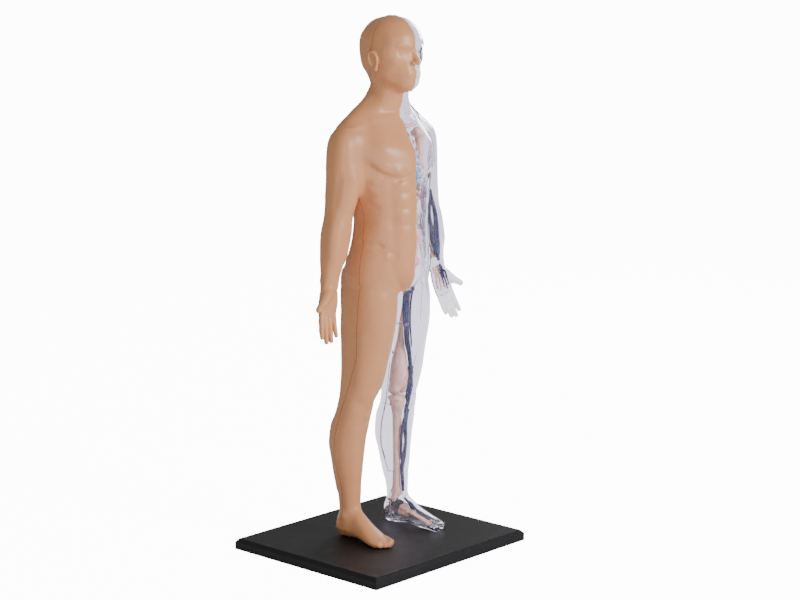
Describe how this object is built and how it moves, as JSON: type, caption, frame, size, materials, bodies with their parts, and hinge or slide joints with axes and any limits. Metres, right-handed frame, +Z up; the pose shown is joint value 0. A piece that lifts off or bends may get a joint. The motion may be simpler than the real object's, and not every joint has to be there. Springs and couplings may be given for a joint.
{
  "type": "standing human anatomy figure",
  "caption": "Standing human figure, opaque flesh skin on its right half and clear skin on its left showing bones, organs and vessels, on a black board.",
  "frame": {"origin": "middle of the underside of the board", "axes": "+Z up; the figure looks along -Y and its own left side is +X"},
  "size_m": [0.2355, 0.205, 0.5603],
  "materials": {
    "skin_flesh": "satin flesh-coloured moulded plastic",
    "skin_clear": "clear moulded polystyrene, glossy",
    "board_black": "black, satin, slightly textured",
    "screw_steel": "zinc-plated steel",
    "bone": "ivory pink, satin",
    "cartilage": "pale blue, glossy",
    "vein_blue": "navy blue, glossy",
    "artery_red": "red, glossy",
    "lung_pink": "dusty pink",
    "heart_red": "deep red",
    "liver_brown": "red-brown",
    "gut_pink": "pink",
    "bile_green": "olive green",
    "spleen_purple": "dark purple-red",
    "brain_pink": "pale pink"
  },
  "bodies": {
    "figure": {"ankle_pin": "skin_clear", "aorta": "artery_red", "base_board": "board_black", "basilic_vein": "vein_blue", "bladder": "bile_green", "brain": "brain_pink", "calf_pin": "skin_clear", "cephalic_vein": "vein_blue", "clavicle": "bone", "femoral_artery": "artery_red", "femoral_vein": "vein_blue", "femur": "bone", "fibula": "bone", "heel_screw_left": "screw_steel", "heel_screw_right": "screw_steel", "humerus": "bone", "jaw": "bone", "left_kidney": "spleen_purple", "pancreas": "bile_green", "pelvis": "bone", "radius": "bone", "ribs_back_left": "bone", "ribs_back_right": "bone", "right_kidney": "spleen_purple", "saphenous_vein": "vein_blue", "scapula": "bone", "skin_back_left": "skin_clear", "skin_back_right": "skin_flesh", "skull": "bone", "skull_cap": "bone", "spine": "bone", "spleen": "spleen_purple", "thigh_peg": "skin_clear", "tibia": "bone", "trachea": "bone", "ulna": "bone", "vena_cava": "vein_blue"},
    "right_cover": {"skin_front_right": "skin_flesh"},
    "left_cover": {"skin_front_left": "skin_clear", "foot_bones": "bone", "foot_vein": "vein_blue", "hand_bones": "bone", "palm_vein": "vein_blue"},
    "chest_plate": {"sternum_plate": "cartilage", "ribs_front_left": "bone", "ribs_front_right": "bone"},
    "heart": {"heart": "heart_red"},
    "right_lung": {"right_lung": "lung_pink"},
    "left_lung": {"left_lung": "lung_pink"},
    "liver": {"liver": "liver_brown", "gallbladder": "bile_green"},
    "stomach": {"stomach": "gut_pink"},
    "large_intestine": {"large_intestine": "gut_pink"},
    "small_intestine": {"small_intestine": "gut_pink"}
  },
  "joints": [
    {"name": "right_cover_lift", "type": "slide", "parent": "figure", "child": "right_cover", "axis": [0, -1, 0], "range_m": [0, 0.24]},
    {"name": "left_cover_lift", "type": "slide", "parent": "figure", "child": "left_cover", "axis": [0, -1, 0], "range_m": [0, 0.24]},
    {"name": "chest_plate_lift", "type": "slide", "parent": "figure", "child": "chest_plate", "axis": [0, -1, 0], "range_m": [0, 0.18]},
    {"name": "heart_lift", "type": "slide", "parent": "figure", "child": "heart", "axis": [0, -1, 0], "range_m": [0, 0.132]},
    {"name": "right_lung_lift", "type": "slide", "parent": "figure", "child": "right_lung", "axis": [0, -1, 0], "range_m": [0, 0.072]},
    {"name": "left_lung_lift", "type": "slide", "parent": "figure", "child": "left_lung", "axis": [0, -1, 0], "range_m": [0, 0.072]},
    {"name": "liver_lift", "type": "slide", "parent": "figure", "child": "liver", "axis": [0, -1, 0], "range_m": [0, 0.12]},
    {"name": "stomach_lift", "type": "slide", "parent": "figure", "child": "stomach", "axis": [0, -1, 0], "range_m": [0, 0.108]},
    {"name": "large_intestine_lift", "type": "slide", "parent": "figure", "child": "large_intestine", "axis": [0, -1, 0], "range_m": [0, 0.108]},
    {"name": "small_intestine_lift", "type": "slide", "parent": "figure", "child": "small_intestine", "axis": [0, -1, 0], "range_m": [0, 0.132]}
  ],
  "couplings": [
    {"joint": "left_cover_lift", "follows": "right_cover_lift", "ratio": 1},
    {"joint": "chest_plate_lift", "follows": "right_cover_lift", "ratio": 0.75},
    {"joint": "heart_lift", "follows": "right_cover_lift", "ratio": 0.55},
    {"joint": "small_intestine_lift", "follows": "right_cover_lift", "ratio": 0.55},
    {"joint": "liver_lift", "follows": "right_cover_lift", "ratio": 0.5},
    {"joint": "stomach_lift", "follows": "right_cover_lift", "ratio": 0.45},
    {"joint": "large_intestine_lift", "follows": "right_cover_lift", "ratio": 0.45},
    {"joint": "right_lung_lift", "follows": "right_cover_lift", "ratio": 0.3},
    {"joint": "left_lung_lift", "follows": "right_cover_lift", "ratio": 0.3}
  ]
}
